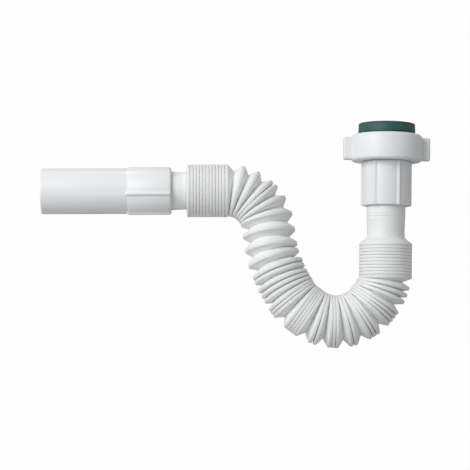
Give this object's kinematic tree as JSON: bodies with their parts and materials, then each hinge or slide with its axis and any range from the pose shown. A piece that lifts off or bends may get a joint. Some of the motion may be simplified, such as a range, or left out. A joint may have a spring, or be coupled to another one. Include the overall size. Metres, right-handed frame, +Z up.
{
  "type": "extendable flexible waste pipe",
  "caption": "Bellows waste hose that pulls out and bends, with a plain push-in outlet end, ribbed collars and a winged union nut with a rubber seal.",
  "frame": {"origin": "centre of the footprint on the floor, with the pipe lying on its side", "axes": "+X from the outlet end towards the inlet side, +Y along the inlet towards its seal, +Z up from the floor"},
  "size_m": [0.2718, 0.1578, 0.0502],
  "materials": {
    "flex_hose": "satin white blown plastic",
    "outlet_spigot": "smooth white moulded plastic",
    "inlet_tailpiece": "smooth white moulded plastic",
    "union_nut": "smooth white moulded plastic",
    "seal_ring": "dark green moulded rubber"
  },
  "bodies": {
    "hose": {"flex_hose": "flex_hose"},
    "outlet": {"outlet_spigot": "outlet_spigot"},
    "inlet": {"inlet_tailpiece": "inlet_tailpiece", "seal_ring": "seal_ring"},
    "nut": {"union_nut": "union_nut"}
  },
  "joints": [
    {"name": "outlet_stretch", "type": "slide", "parent": "hose", "child": "outlet", "axis": [-0.9994, -0.0124, -0.033], "range_m": [0, 0.09], "deforming": ["flex_hose"]},
    {"name": "inlet_bend", "type": "hinge", "parent": "hose", "child": "inlet", "pos_m": [0.12316, -0.018, 0.02232], "axis": [-0.0324, -0.0423, 0.9986], "range_deg": [-75, 0], "deforming": ["flex_hose"]},
    {"name": "nut_spin", "type": "hinge", "parent": "inlet", "child": "nut", "pos_m": [0.10527, 0.05171, 0.02469], "axis": [0.008, 0.9991, 0.0426], "continuous": true}
  ]
}
